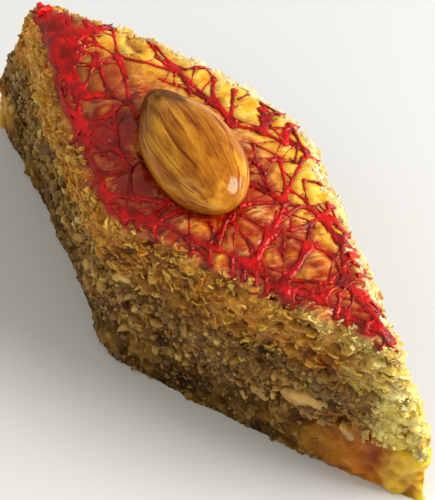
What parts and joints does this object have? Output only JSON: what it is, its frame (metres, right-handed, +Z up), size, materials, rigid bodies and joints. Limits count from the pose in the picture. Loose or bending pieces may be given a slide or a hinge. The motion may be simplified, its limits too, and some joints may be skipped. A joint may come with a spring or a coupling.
{
  "type": "baklava piece",
  "caption": "Diamond-cut piece of layered nut baklava with a drizzled net over its glazed top and a whole almond pressed into the middle.",
  "frame": {"origin": "on the resting face, in the middle of the piece's plan", "axes": "+X along the long diagonal towards the tip where the top is lower, +Y across towards the rounder corner, +Z up through the layers"},
  "size_m": [0.0982, 0.037, 0.0348],
  "materials": {
    "soaked_pastry": "amber pastry soaked in syrup, slightly glossy",
    "nut_paste": "rough chopped nuts, olive brown with pale bits",
    "flaky_pastry": "golden pastry with crumbly sides, a syrup glaze and a red drizzled net",
    "almond_skin": "glazed brown almond skin with lengthwise wrinkles"
  },
  "bodies": {
    "root": {"pastry_base": "soaked_pastry", "nut_filling": "nut_paste", "pastry_top": "flaky_pastry", "almond": "almond_skin"}
  },
  "joints": []
}
